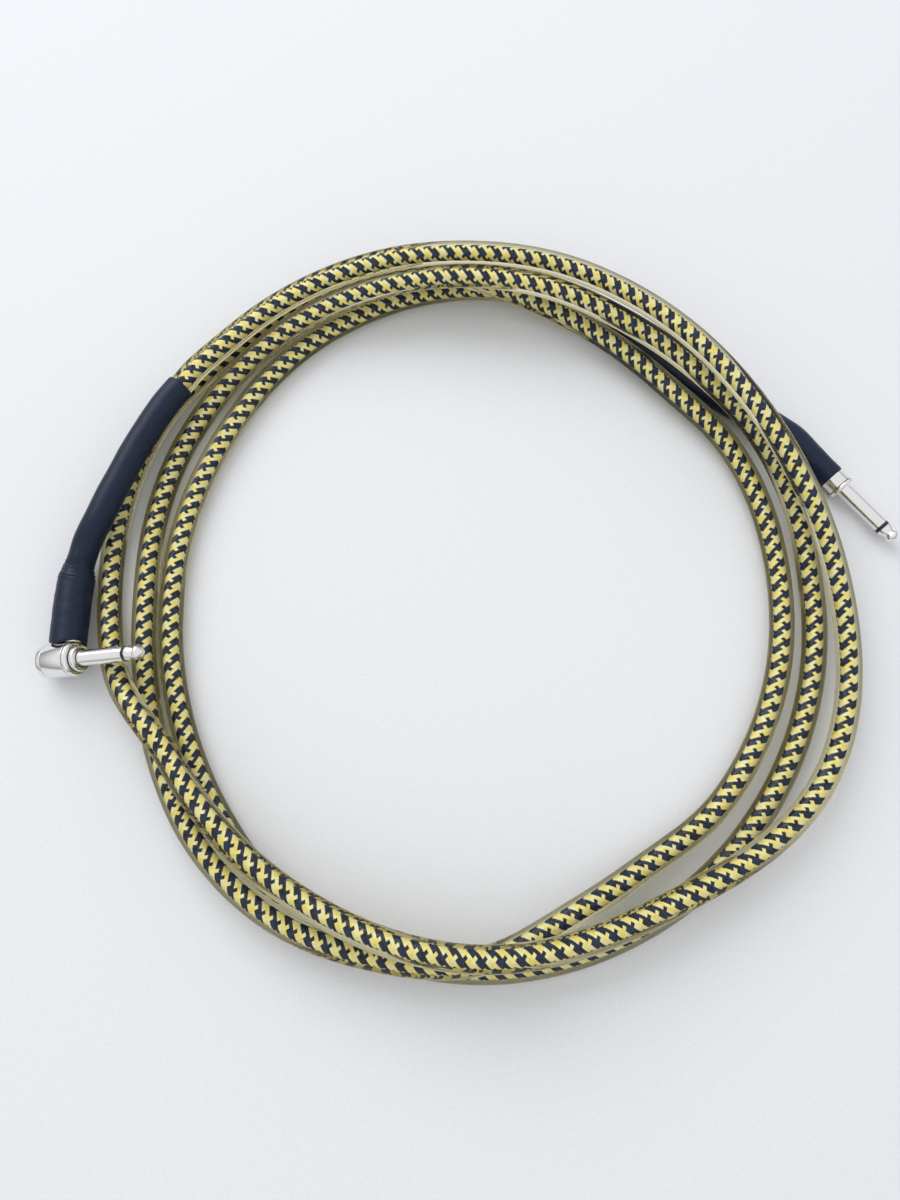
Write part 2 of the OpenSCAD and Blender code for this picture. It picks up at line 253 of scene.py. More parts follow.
class Route:
    """A line of points with its lengths and a frame that doesn't twist."""

    def __init__(self, points):
        self.points = points
        self.along = [0.0]
        for a, b in zip(points, points[1:]):
            self.along.append(self.along[-1] + (b - a).length)
        self.length = self.along[-1]
        self.ahead = []
        for i in range(len(points)):
            a = points[max(0, i - 1)]
            b = points[min(len(points) - 1, i + 1)]
            self.ahead.append((b - a).normalized())
        side = self.ahead[0].cross(Vector((0, 0, 1))).normalized()
        self.side = [side]
        for i in range(1, len(points)):
            side = side - self.ahead[i] * side.dot(self.ahead[i])
            side.normalize()
            self.side.append(side.copy())

    def at(self, distance):
        """Point, direction and two square directions at a distance along."""
        distance = min(max(distance, 0.0), self.length)
        low, high = 0, len(self.along) - 1
        while high - low > 1:
            mid = (low + high) // 2
            if self.along[mid] <= distance:
                low = mid
            else:
                high = mid
        share = (distance - self.along[low]) / (self.along[high] - self.along[low])
        point = self.points[low].lerp(self.points[high], share)
        ahead = self.ahead[low].lerp(self.ahead[high], share).normalized()
        side = self.side[low].lerp(self.side[high], share)
        side = (side - ahead * side.dot(ahead)).normalized()
        return point, ahead, side, ahead.cross(side)


CABLE = Route(smooth_line(cable_points(), PATH_STEP))

# ---------------------------------------------------------------------------
# Sizes and colours that a user would change
# ---------------------------------------------------------------------------


class CableSettings(PropertyGroup):
    """Sizes and colours of the jacket and the braid"""

    braid_d: FloatProperty(
        name="Braid diameter",
        description="Diameter of the woven braid inside the clear jacket",
        default=0.0053,
        unit="LENGTH",
    )
    check_length: FloatProperty(
        name="Check length",
        description="Length along the cable of one light and one dark check",
        default=0.0068,
        unit="LENGTH",
    )
    jacket_sides: IntProperty(
        name="Jacket sides",
        description="Faces round the clear jacket",
        default=24,
        min=8,
    )
    jacket_colour: FloatVectorProperty(
        name="Jacket colour",
        description="Tint of the clear jacket where it is looked straight through",
        default=(1.0, 0.985, 0.84),
        subtype="COLOR",
    )
    jacket_edge: FloatVectorProperty(
        name="Jacket edge colour",
        description="Tint of the clear jacket at its edges, where light goes further in it",
        default=(0.52, 0.46, 0.24),
        subtype="COLOR",
    )
    yarn_gold: FloatVectorProperty(
        name="Golden yarn",
        description="Deeper colour of the light yarn",
        default=(1.0, 0.84, 0.18),
        subtype="COLOR",
    )
    yarn_pale: FloatVectorProperty(
        name="Pale yarn",
        description="Paler colour of the light yarn",
        default=(1.0, 0.96, 0.58),
        subtype="COLOR",
    )
    yarn_dark: FloatVectorProperty(
        name="Dark yarn",
        description="Colour of the dark yarn",
        default=(0.014, 0.021, 0.048),
        subtype="COLOR",
    )


class SleeveSettings(PropertyGroup):
    """Colour and creases of the heat-shrink sleeves"""

    colour: FloatVectorProperty(
        name="Sleeve colour",
        description="Colour of the heat-shrink sleeves",
        default=(0.003, 0.008, 0.026),
        subtype="COLOR",
    )
    crease: FloatProperty(
        name="Crease depth",
        description="Depth of the creases in the shrunk sleeves",
        default=0.00035,
        unit="LENGTH",
    )


class PlugSettings(PropertyGroup):
    """Colours of the plugs' outer pieces"""

    nickel: FloatVectorProperty(
        name="Nickel",
        description="Colour of the plated plugs",
        default=(0.85, 0.84, 0.815),
        subtype="COLOR",
    )
    insulator: FloatVectorProperty(
        name="Insulator",
        description="Colour of the ring between tip and shaft",
        default=(0.012, 0.012, 0.013),
        subtype="COLOR",
    )


class StageSettings(PropertyGroup):
    """Floor, camera and lamp"""

    floor_colour: FloatVectorProperty(
        name="Floor colour",
        description="Colour of the plain floor",
        default=(0.74, 0.75, 0.77),
        subtype="COLOR",
    )
    lens: FloatProperty(
        name="Lens",
        description="Focal length of the camera in millimetres",
        default=27.03,
    )
    lamp_power: FloatProperty(
        name="Lamp power",
        description="Power of the soft lamp in watts",
        default=23.0,
    )


# ---------------------------------------------------------------------------
# Materials
# ---------------------------------------------------------------------------


def node(tree, kind, **values):
    """A node with its settings, and its inputs by name."""
    made = tree.nodes.new(kind)
    for name, value in values.items():
        if name in made.inputs:
            made.inputs[name].default_value = value
        else:
            setattr(made, name, value)
    return made


def plain_material(name, **sockets):
    """A material with constant sockets, its node tree and its shader."""
    material = bpy.data.materials.new(name)
    material.use_nodes = True
    tree = material.node_tree
    shader = tree.nodes["Principled BSDF"]
    for socket, value in sockets.items():
        socket = socket.replace("_", " ")
        if socket == "Base Color":
            value = (*value, 1.0)
        shader.inputs[socket].default_value = value
    return material, tree, shader


def grain_bump(tree, shader, scale, depth, strength):
    """Fine bump from noise with scale cells to the metre."""
    place = node(tree, "ShaderNodeTexCoord")
    grain = node(tree, "ShaderNodeTexNoise", Scale=scale, Detail=3.0)
    bump = node(tree, "ShaderNodeBump", Strength=strength, Distance=depth)
    tree.links.new(place.outputs["Object"], grain.inputs["Vector"])
    tree.links.new(grain.outputs["Fac"], bump.inputs["Height"])
    tree.links.new(bump.outputs["Normal"], shader.inputs["Normal"])
    return grain


def mixed_colour(tree, shader, fac, first, second, low=0.35, high=0.65):
    """Base colour that goes from first to second as fac goes from low to high."""
    ramp = node(tree, "ShaderNodeValToRGB")
    ramp.color_ramp.elements[0].position = low
    ramp.color_ramp.elements[0].color = (*first, 1)
    ramp.color_ramp.elements[1].position = high
    ramp.color_ramp.elements[1].color = (*second, 1)
    tree.links.new(fac, ramp.inputs["Fac"])
    tree.links.new(ramp.outputs["Color"], shader.inputs["Base Color"])
    return ramp


def jacket_material(settings):
    """Clear soft jacket with a yellow tint, stronger where light goes further in it."""
    material, tree, shader = plain_material(
        "clear_jacket",
        Base_Color=settings.jacket_colour,
        Roughness=0.05,
        IOR=1.26,
        Specular_IOR_Level=1.0,
        Transmission_Weight=1.0,
    )
    edge = node(tree, "ShaderNodeLayerWeight", Blend=0.5)
    mixed_colour(
        tree,
        shader,
        edge.outputs["Facing"],
        tuple(settings.jacket_colour),
        tuple(settings.jacket_edge),
        low=0.15,
        high=0.42,
    )
    grain_bump(tree, shader, scale=120.0, depth=0.0002, strength=0.04)
    return material


def yarn_material(name, first, second, roughness, shine):
    """Braided yarn: rounded strands with painted shade that darkens them towards the gaps,
    and fine fibres along them.
    """
    material, tree, shader = plain_material(
        name, Roughness=roughness, Specular_IOR_Level=shine
    )
    place = node(tree, "ShaderNodeTexCoord")
    speckle = node(tree, "ShaderNodeTexNoise", Scale=420.0, Detail=2.0)
    tree.links.new(place.outputs["Object"], speckle.inputs["Vector"])
    ramp = mixed_colour(tree, shader, speckle.outputs["Fac"], first, second)

    # U runs across a strand: 0 and 1 are its edges, and folded it is 0.5 at the middle.
    uv = node(tree, "ShaderNodeSeparateXYZ")
    tree.links.new(place.outputs["UV"], uv.inputs["Vector"])
    across = node(tree, "ShaderNodeMath", operation="PINGPONG")
    across.inputs[1].default_value = 0.5
    tree.links.new(uv.outputs["X"], across.inputs[0])

    # Painted shade: the colour is darkened near each strand's edges, where the strands meet.
    painted_gap_shade = node(tree, "ShaderNodeMapRange")
    painted_gap_shade.inputs["From Max"].default_value = 0.12
    painted_gap_shade.inputs["To Min"].default_value = 0.88
    tree.links.new(across.outputs[0], painted_gap_shade.inputs["Value"])
    shade = node(tree, "ShaderNodeMix", data_type="RGBA", blend_type="MULTIPLY")
    shade.inputs["Factor"].default_value = 1.0
    tree.links.new(ramp.outputs["Color"], shade.inputs["A"])
    tree.links.new(painted_gap_shade.outputs["Result"], shade.inputs["B"])
    tree.links.new(shade.outputs["Result"], shader.inputs["Base Color"])

    strand = node(tree, "ShaderNodeMapRange", interpolation_type="SMOOTHSTEP")
    strand.inputs["From Max"].default_value = 0.4
    tree.links.new(across.outputs[0], strand.inputs["Value"])
    fibre = node(tree, "ShaderNodeMath", operation="PINGPONG")
    fibre.inputs[1].default_value = 0.08
    tree.links.new(uv.outputs["X"], fibre.inputs[0])
    height = node(tree, "ShaderNodeMath", operation="ADD")
    tree.links.new(strand.outputs["Result"], height.inputs[0])
    tree.links.new(fibre.outputs[0], height.inputs[1])
    bump = node(tree, "ShaderNodeBump", Strength=0.35, Distance=0.0002)
    tree.links.new(height.outputs[0], bump.inputs["Height"])
    tree.links.new(bump.outputs["Normal"], shader.inputs["Normal"])
    return material


def sleeve_material(settings):
    """Satin heat-shrink with a faint grain, the same for all sleeves."""
    made = bpy.data.materials.get("satin_sleeve")
    if made:
        return made
    material, tree, shader = plain_material(
        "satin_sleeve", Roughness=0.42, Specular_IOR_Level=0.32
    )
    grain = grain_bump(tree, shader, scale=700.0, depth=0.0001, strength=0.35)
    colour = tuple(settings.colour)
    lighter = tuple(1.8 * c for c in colour)
    mixed_colour(tree, shader, grain.outputs["Fac"], colour, lighter, low=0.4, high=0.75)
    return material


def metal_material(name, colour, roughness, scale=900.0, depth=0.00002):
    """Bright plating with faint wear in its polish."""
    material, tree, shader = plain_material(
        name, Base_Color=tuple(colour), Metallic=1.0, Roughness=roughness
    )
    grain = grain_bump(tree, shader, scale, depth, strength=0.2)
    polish = node(tree, "ShaderNodeMapRange")
    polish.inputs["To Min"].default_value = roughness * 0.7
    polish.inputs["To Max"].default_value = roughness * 1.5
    tree.links.new(grain.outputs["Fac"], polish.inputs["Value"])
    tree.links.new(polish.outputs["Result"], shader.inputs["Roughness"])
    return material


def moulded_material(name, colour, roughness):
    """Moulded plastic or fibre with a fine skin."""
    material, tree, shader = plain_material(name, Roughness=roughness)
    grain = grain_bump(tree, shader, scale=1500.0, depth=0.00004, strength=0.3)
    worn = tuple(min(1.0, 1.25 * c + 0.01) for c in colour)
    mixed_colour(tree, shader, grain.outputs["Fac"], tuple(colour), worn)
    return material


def dress(node_name, material):
    """Gives a solid of the frame its material."""
    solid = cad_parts[node_name]
    solid.data.materials.clear()
    solid.data.materials.append(material)


# ---------------------------------------------------------------------------
# Meshes
# ---------------------------------------------------------------------------

LATHE_SIDES = 72
WELD_REACH = 1e-6
SHARP_ANGLE = math.radians(50)


def mesh_object(name, points, faces, materials):
    """A smooth mesh object in the scene, riding on the part's one body."""
    mesh = bpy.data.meshes.new(name)
    mesh.from_pydata([tuple(p) for p in points], [], faces)
    for material in materials:
        mesh.materials.append(material)
    mesh.polygons.foreach_set("use_smooth", [True] * len(mesh.polygons))
    mesh.update()
    made = bpy.data.objects.new(name, mesh)
    bpy.context.scene.collection.objects.link(made)
    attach(made, BODY)
    return made


def ring_points(route, distance, radius_at, sides):
    """Points round the route. The radius goes by the distance and the turn from its side."""
    point, _, side, up = route.at(distance)
    points = []
    for k in range(sides):
        turn = 2 * math.pi * k / sides
        radius = radius_at(distance, turn)
        points.append(point + radius * (math.cos(turn) * side + math.sin(turn) * up))
    return points


def tube_faces(rings, sides):
    """Quads between rings of a closed tube."""
    faces = []
    for i in range(rings - 1):
        for k in range(sides):
            a = i * sides + k
            b = i * sides + (k + 1) % sides
            faces.append((a, b, b + sides, a + sides))
    return faces


def swept_tube(name, route, stations, radius_at, sides, materials):
    """A closed tube along a route, with a ring at each station."""
    points = []
    for distance in stations:
        points += ring_points(route, distance, radius_at, sides)
    rings = len(stations)
    faces = tube_faces(rings, sides)
    faces.append(tuple(reversed(range(sides))))
    faces.append(tuple(range((rings - 1) * sides, rings * sides)))
    return mesh_object(name, points, faces, materials)


def swept_sleeve(name, route, stations, radius_at, bore_at, sides, materials):
    """An open sleeve: outer skin, two cut ends and its bore."""
    points = []
    rows = [(s, radius_at) for s in stations] + [(s, bore_at) for s in reversed(stations)]
    for distance, at in rows:
        points += ring_points(route, distance, at, sides)
    rings = len(rows)
    faces = tube_faces(rings, sides)
    last = (rings - 1) * sides
    for k in range(sides):
        n = (k + 1) % sides
        faces.append((last + k, last + n, n, k))
    return mesh_object(name, points, faces, materials)


def eased(profile, radius):
    """A profile with its corners rounded over a short way, except on the axis."""
    rounded = []
    for i, corner in enumerate(profile):
        before = Vector(profile[i - 1]) - Vector(corner)
        after = Vector(profile[(i + 1) % len(profile)]) - Vector(corner)
        if corner[1] == 0:
            rounded.append(tuple(corner))
            continue
        reach = min(radius, before.length * 0.45, after.length * 0.45)
        start = Vector(corner) + before.normalized() * reach
        end = Vector(corner) + after.normalized() * reach
        middle = (start + end) * 0.25 + Vector(corner) * 0.5
        rounded += [tuple(start), tuple(middle), tuple(end)]
    return rounded


def lathe_mesh(profiles, place):
    """Points and faces of closed (x, radius) profiles turned about the x axis, in mm."""
    points, faces = [], []
    for profile in profiles:
        base = len(points)
        for k in range(LATHE_SIDES):
            turn = 2 * math.pi * k / LATHE_SIDES
            for x, radius in profile:
                spot = Vector((x, radius * math.cos(turn), radius * math.sin(turn)))
                points.append(place @ (spot / 1000))
        count = len(profile)
        for k in range(LATHE_SIDES):
            n = (k + 1) % LATHE_SIDES
            for i in range(count):
                j = (i + 1) % count
                if profile[i][1] == 0 and profile[j][1] == 0:
                    continue
                quad = [
                    base + k * count + i,
                    base + k * count + j,
                    base + n * count + j,
                    base + n * count + i,
                ]
                faces.append(tuple(reversed(quad)))
    return points, faces


def turned_piece(name, node_name, profiles, place, material):
    """A turned piece. It stands for a solid of the frame if that is named."""
    points, faces = lathe_mesh(profiles, place)
    piece = mesh_object(name, points, faces, [material])
    weld_and_sharpen(piece.data)
    if node_name:
        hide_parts(node_name)
    return piece


def weld_and_sharpen(mesh):
    """Joins points that coincide, faces outward, and keeps sharp edges sharp."""
    welded = bmesh.new()
    welded.from_mesh(mesh)
    bmesh.ops.remove_doubles(welded, verts=welded.verts, dist=WELD_REACH)
    bmesh.ops.recalc_face_normals(welded, faces=welded.faces)
    welded.to_mesh(mesh)
    welded.free()
    mesh.polygons.foreach_set("use_smooth", [True] * len(mesh.polygons))
    mesh.set_sharp_from_angle(angle=SHARP_ANGLE)


def evenly(start, end, step):
    """Distances from start to end, about a step apart."""
    count = max(2, round((end - start) / step))
    return [start + (end - start) * k / count for k in range(count + 1)]


# ---------------------------------------------------------------------------
# Cable
# ---------------------------------------------------------------------------

# A strand runs over two others, then under two. Colours change every second strand, and
# those of one way are shifted by a strand. The top column is the one that faces up, and
# the braid turns from there where the coil's far side runs along x.
STRANDS_EACH_WAY = 8
OVER_UNDER = 2
COLOUR_RUN = 2
COLOUR_SHIFT = 1
TOP_COLUMN = 3
FAR_TWIST = 1.0


def braid_mesh(settings, materials):
    """Braid of light and dark strands: one four-sided cell for each crossing."""
    strands = STRANDS_EACH_WAY
    row_step = settings.check_length / strands
    rows = int(CABLE.length / row_step)
    radius = settings.braid_d / 2
    points, index = [], {}
    for row in range(rows + 1):
        point, ahead, side, up = CABLE.at(row * row_step)
        twist = FAR_TWIST * max(0.0, ahead.x) ** 2
        for column in range(row % 2, 2 * strands, 2):
            turn = math.pi * (column - TOP_COLUMN) / strands - math.pi / 2 + twist
            index[row, column] = len(points)
            points.append(point + radius * (math.cos(turn) * side + math.sin(turn) * up))
    faces, light, corners_uv = [], [], []
    for row in range(1, rows):
        for column in range(row % 2, 2 * strands, 2):
            right = (column + 2) % (2 * strands)
            middle = (column + 1) % (2 * strands)
            first = (row + column) // 2
            second = (column - row) // 2
            over = row % (2 * OVER_UNDER) < OVER_UNDER
            chosen = first if over else second + COLOUR_SHIFT
            light.append(chosen % (2 * COLOUR_RUN) < COLOUR_RUN)
            faces.append(
                (
                    index[row, column],
                    index[row + 1, middle],
                    index[row, right],
                    index[row - 1, middle],
                )
            )
            if over:
                corners_uv.append([(0, 0), (1, 0), (1, 1), (0, 1)])
            else:
                corners_uv.append([(0, 0), (0, 1), (1, 1), (1, 0)])
    braid = mesh_object("braid", points, faces, materials)
    layer = braid.data.uv_layers.new(name="strands")
    for polygon, corners, is_light in zip(braid.data.polygons, corners_uv, light):
        polygon.material_index = 0 if is_light else 1
        for loop, uv in zip(polygon.loop_indices, corners):
            layer.data[loop].uv = uv
    return braid


class CABLE_OT_make_cable(Operator):
    """Clear jacket with the woven braid inside it, along the whole route"""

    bl_idname = "instrument_cable.make_cable"
    bl_label = "Cable"

    def execute(self, context):
        settings = context.scene.cable_settings
        gold, pale, dark = settings.yarn_gold, settings.yarn_pale, settings.yarn_dark
        less_dark = tuple(2.2 * c for c in dark)
        yarns = [
            yarn_material("light_yarn", gold, pale, roughness=0.5, shine=0.9),
            yarn_material("dark_yarn", dark, less_dark, roughness=0.65, shine=0.15),
        ]
        braid = braid_mesh(settings, yarns)
        jacket = swept_tube(
            "jacket",
            CABLE,
            CABLE.along,
            lambda distance, turn: CABLE_D / 2,
            settings.jacket_sides,
            [jacket_material(settings)],
        )
        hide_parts("cable", "angle_cable_end", "straight_cable_end")
        return {"FINISHED"}


# ---------------------------------------------------------------------------
# Sleeves
# ---------------------------------------------------------------------------

SLEEVE_SIDES = 40
SLEEVE_STEP = 0.0008
FINE_STEP = 0.7 * SLEEVE_STEP
LONG_R = 0.0057
LONG_BORE = 0.0051
SLEEVE_GAP = 0.0001

# Sizes of the noise round a sleeve, for creases and for folds, and how far folds wander.
CREASE_TURN = 1.3
FOLD_TURN = 1.1
FOLD_WANDER = 7

# Angle plug: its tilt round the neck, where its sleeves start and end, the wall of the
# short one and the share of it lost where it is gathered, and how far that sleeve is drawn
# round the body and over what reach.
ANGLE_TILT = math.radians(22)
ANGLE_LONG_START = 0.001
ANGLE_SHORT_FRONT = Vector(ANGLE_ENTRY) + Vector((0, 0.00735, 0))
ANGLE_SHORT_END = 0.0229
SHORT_WALL = 0.00155
GATHERED = 0.62
DRAPE = 0.0023
DRAPE_REACH = 0.005

# Straight plug: its barrel and flange, how much of the barrel shows, how far behind it the
# long sleeve starts, the walls of the short one, and the route's points that it covers.
BARREL_R = 0.005
FLANGE = 0.002
BARREL_SHOW = 0.0047
LONG_SET_BACK = 0.003
FRONT_WALL = 0.0007
REAR_WALL = 0.0008
SHORT_POINTS = 4


def soft_step(value, low, high):
    """0 below low, 1 above high, and smooth between."""
    u = min(max((value - low) / (high - low), 0.0), 1.0)
    return u * u * (3 - 2 * u)


def fade(value, low, high):
    """1 below low, 0 above high, and smooth between."""
    return 1 - soft_step(value, low, high)


def creases(distance, turn, seed, size=0.006):
    """Smooth noise over a sleeve, from -1 to 1, longer round than along."""
    across, up = CREASE_TURN * math.cos(turn), CREASE_TURN * math.sin(turn)
    return noise.noise(Vector((distance / size, across + seed, up - seed)))


def wrinkles(distance, turn, seed, pitch=0.0019):
    """Uneven folds round a sleeve, from -1 to 1."""
    spot = Vector((FOLD_TURN * math.cos(turn) + seed, FOLD_TURN * math.sin(turn), seed))
    height = min(1.0, 0.55 + noise.noise(3 * spot))
    shift = FOLD_WANDER * noise.noise(spot)
    return height * math.sin(2 * math.pi * distance / pitch + shift)


def lip(distance, start, end, depth=0.0003, reach=0.0006):
    """How much the radius drops at a sleeve's rounded cut ends."""
    near = min(distance - start, end - distance)
    return depth * fade(near, 0.0, reach)


def route_length(points):
    """Length of the smooth line through the first points of a route."""
    return Route(smooth_line(points, PATH_STEP)).length


class CABLE_OT_make_angle_sleeves(Operator):
    """Long and short heat-shrink sleeves of the angle plug"""

    bl_idname = "instrument_cable.make_angle_sleeves"
    bl_label = "Angle plug sleeves"

    def execute(self, context):
        settings = context.scene.sleeve_settings
        material = sleeve_material(settings)
        long_end = route_length(ANGLE_ROUTE)
        crease = settings.crease

        def long_radius(distance, turn):
            """Creases that fade away from the short sleeve, and folds right beside it."""
            past = distance - ANGLE_SHORT_END
            fold = (0.25 + 1.1 * fade(past, 0.002, 0.022)) * creases(distance, turn, seed=3.1)
            fold += 0.5 * fade(past, 0.001, 0.007) * wrinkles(distance, turn, seed=6.1)
            return LONG_R + SLEEVE_GAP + crease * fold - lip(distance, 0.0, long_end)

        long_sleeve = swept_sleeve(
            "angle_sleeve_long",
            CABLE,
            evenly(ANGLE_LONG_START, long_end, SLEEVE_STEP),
            long_radius,
            lambda distance, turn: LONG_BORE,
            SLEEVE_SIDES,
            [material],
        )
        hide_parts("angle_long_sleeve")

        front = ANGLE_SHORT_FRONT
        route = Route(smooth_line([front, *ANGLE_ROUTE], PATH_STEP))
        short_end = (Vector(ANGLE_ROUTE[0]) - front).length + ANGLE_SHORT_END

        def short_radius(distance, turn):
            """Drawn in and gathered at the rear end, with folds in front of that."""
            left = short_end - distance
            gather = fade(left, 0.0005, 0.0055)
            folds = fade(left, 0.0055, 0.0085) * wrinkles(distance, turn, seed=2.3)
            wave = creases(distance, turn, seed=7.7, size=0.0035)
            radius = LONG_R + SHORT_WALL * (1 - GATHERED * gather)
            radius += crease * ((0.35 + 0.9 * gather) * wave + 0.7 * folds)
            return radius - lip(distance, 0.0, short_end)

        short_sleeve = swept_sleeve(
            "angle_sleeve_short",
            route,
            evenly(0.0, short_end, FINE_STEP),
            short_radius,
            lambda distance, turn: LONG_R + SLEEVE_GAP,
            SLEEVE_SIDES,
            [material],
        )
        self.fit_to_body(short_sleeve.data, front)
        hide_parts("angle_short_sleeve")
        return {"FINISHED"}

    def fit_to_body(self, mesh, front):
        """Draws the sleeve's cut end round the plug's body above and below the neck."""
        across = Vector((-math.sin(ANGLE_TILT), 0, math.cos(ANGLE_TILT)))
        for vertex in mesh.vertices:
            near = fade(vertex.co.y - front.y, 0.0, DRAPE_REACH)
            height = (vertex.co - front).dot(across) / (LONG_R + SHORT_WALL)
            vertex.co.y -= DRAPE * near * min(1.0, height * height)


class CABLE_OT_make_straight_sleeves(Operator):
    """Long and short heat-shrink sleeves of the straight plug"""

    bl_idname = "instrument_cable.make_straight_sleeves"
    bl_label = "Straight plug sleeves"

    def execute(self, context):
        settings = context.scene.sleeve_settings
        material = sleeve_material(settings)
        crease = settings.crease
        front = STRAIGHT_SHOULDER - STRAIGHT_DIR * (FLANGE + BARREL_SHOW)
        route = Route(smooth_line([front, *STRAIGHT_ROUTE], PATH_STEP))
        barrel_end = (Vector(STRAIGHT_ROUTE[0]) - front).length
        long_start, long_end = barrel_end + LONG_SET_BACK, route.length
        short_end = barrel_end + route_length(STRAIGHT_ROUTE[:SHORT_POINTS])

        def long_radius(distance, turn):
            """Creases that fade away from the short sleeve."""
            past = distance - short_end
            fold = (0.20 + 0.64 * fade(past, 0.0, 0.012)) * creases(distance, turn, seed=5.3)
            return LONG_R + crease * fold - lip(distance, long_start, long_end)

        long_sleeve = swept_sleeve(
            "straight_sleeve_long",
            route,
            evenly(long_start, long_end, SLEEVE_STEP),
            long_radius,
            lambda distance, turn: LONG_BORE,
            SLEEVE_SIDES,
            [material],
        )
        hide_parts("straight_long_sleeve")

        def short_radius(distance, turn):
            """Wider over the long sleeve than over the barrel."""
            grown = soft_step(distance, barrel_end - 0.008, long_start + 0.006)
            radius = BARREL_R + FRONT_WALL
            radius += (LONG_R + REAR_WALL - radius) * grown
            radius += 0.4 * crease * creases(distance, turn, seed=1.9)
            return radius - lip(distance, 0.0, short_end)

        def short_bore(distance, turn):
            grown = soft_step(distance, barrel_end, long_start)
            return BARREL_R + SLEEVE_GAP + (LONG_R - BARREL_R) * grown

        short_sleeve = swept_sleeve(
            "straight_sleeve_short",
            route,
            evenly(0.0, short_end, SLEEVE_STEP),
            short_radius,
            short_bore,
            SLEEVE_SIDES,
            [material],
        )
        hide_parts("straight_short_sleeve")
        return {"FINISHED"}


# ---------------------------------------------------------------------------
# Plugs: sizes in millimetres, profiles as (x, radius) with the finger's shoulder at
# x = 0 and its tip at 30.5
# ---------------------------------------------------------------------------

FINGER_R = 3.175
RING_BACK = 21.6
RING_FRONT = 23.0
LINER_R = 2.0
PIN_R = 1.2
PIN_BACK_ANGLE = -5.8
PIN_BACK_STRAIGHT = -9.1
EASE = 0.18

TIP_END = [
    (RING_FRONT, FINGER_R),
    (24.4, FINGER_R),
    (25.9, 2.45),
    (26.2, 2.3),
    (26.5, 2.45),
    (27.3, 3.0),
    (27.9, 3.1),
    (28.5, 2.9),
    (29.6, 1.7),
    (30.2, 1.0),
    (30.45, 0.5),
    (30.5, 0.0),
]
RING = [
    (RING_BACK, FINGER_R - 0.05),
    (RING_FRONT, FINGER_R - 0.05),
    (RING_FRONT, PIN_R),
    (RING_BACK, PIN_R),
]
ANGLE_SHAFT = [
    (RING_BACK, FINGER_R),
    (RING_BACK, LINER_R),
    (-4.0, LINER_R),
    (-4.0, 4.15),
    (-2.3, 4.15),
    (-2.3, 4.85),
    (-1.85, 4.85),
    (-1.85, 5.4),
    (-0.45, 5.4),
    (0.0, 4.95),
    (0.0, 3.75),
    (-0.35, 3.65),
    (-0.35, FINGER_R),
]
ANGLE_BODY = [
    (-14.9, 7.15),
    (-4.45, 7.15),
    (-4.35, 7.02),
    (-4.15, 7.02),
    (-4.05, 7.15),
    (-3.1, 7.15),
    (-2.3, 6.35),
    (-2.3, 4.2),
    (-4.0, 4.2),
    (-4.0, 6.0),
    (-15.0, 6.0),
    (-15.0, 7.02),
]
ANGLE_NECK = [(6.4, 5.7), (16.0, 5.7), (16.0, 4.2), (6.4, 4.2)]
ANGLE_CAP = [
    (-15.1, 7.15),
    (-15.0, 7.0),
    (-15.0, 6.0),
    (-12.7, 6.0),
    (-12.7, 5.0),
    (-15.6, 5.0),
    (-15.6, 0.0),
    (-20.6, 0.0),
    (-20.6, 1.9),
    (-20.35, 2.5),
    (-17.2, 7.15),
]
# Dark rings set into the seams and grooves: painted shade where the grooves fall dark.
ANGLE_SEAMS = [
    [(-15.08, 7.1), (-14.92, 7.1), (-14.92, 6.9), (-15.08, 6.9)],
    [(-4.34, 7.08), (-4.16, 7.08), (-4.16, 6.95), (-4.34, 6.95)],
    [(-2.28, 4.98), (-1.87, 4.98), (-1.87, 4.8), (-2.28, 4.8)],
    [(-0.36, 3.65), (-0.25, 3.65), (-0.25, 3.2), (-0.36, 3.2)],
]
STRAIGHT_SHAFT = [
    (RING_BACK, FINGER_R),
    (RING_BACK, LINER_R),
    (-7.0, LINER_R),
    (-7.0, 4.25),
    (-2.0, 4.25),
    (-2.0, 4.75),
    (-1.65, 4.75),
    (-1.65, 5.55),
    (-1.4, 5.7),
    (-0.55, 5.7),
    (-0.1, 5.2),
    (0.0, 4.4),
    (0.0, FINGER_R),
]
STRAIGHT_BARREL = [(-20.0, 5.0), (-2.0, 5.0), (-2.0, 4.3), (-20.0, 4.3)]
# Dark ring in the straight plug's seam: painted shade.
STRAIGHT_SEAMS = [[(-1.98, 4.9), (-1.67, 4.9), (-1.67, 4.7), (-1.98, 4.7)]]

# In metres, along the finger from the neck's line to its shoulder.
NECK_SET_BACK = 0.0082


def angle_place():
    """Where the angle plug's finger starts, and the way it points."""
    return (
        Matrix.Translation(ANGLE_ENTRY)
        @ Matrix.Rotation(-ANGLE_TILT, 4, "Y")
        @ Matrix.Translation((NECK_SET_BACK, 0, 0))
    )


def straight_place():
    """Where the straight plug's finger starts, and the way it points."""
    return Matrix.Translation(STRAIGHT_SHOULDER) @ Matrix.Rotation(STRAIGHT_HEADING, 4, "Z")


def neck_place():
    """The angle plug's neck, square to its body."""
    return Matrix.Translation(ANGLE_ENTRY) @ Matrix.Rotation(math.pi / 2, 4, "Z")


def tip_profile(pin_back):
    """The tip contact with the pin that runs back through the shaft."""
    return [
        *eased(TIP_END[:2], EASE)[1:4],
        *TIP_END[2:],
        (pin_back, 0.0),
        (pin_back, PIN_R),
        (RING_FRONT, PIN_R),
    ]


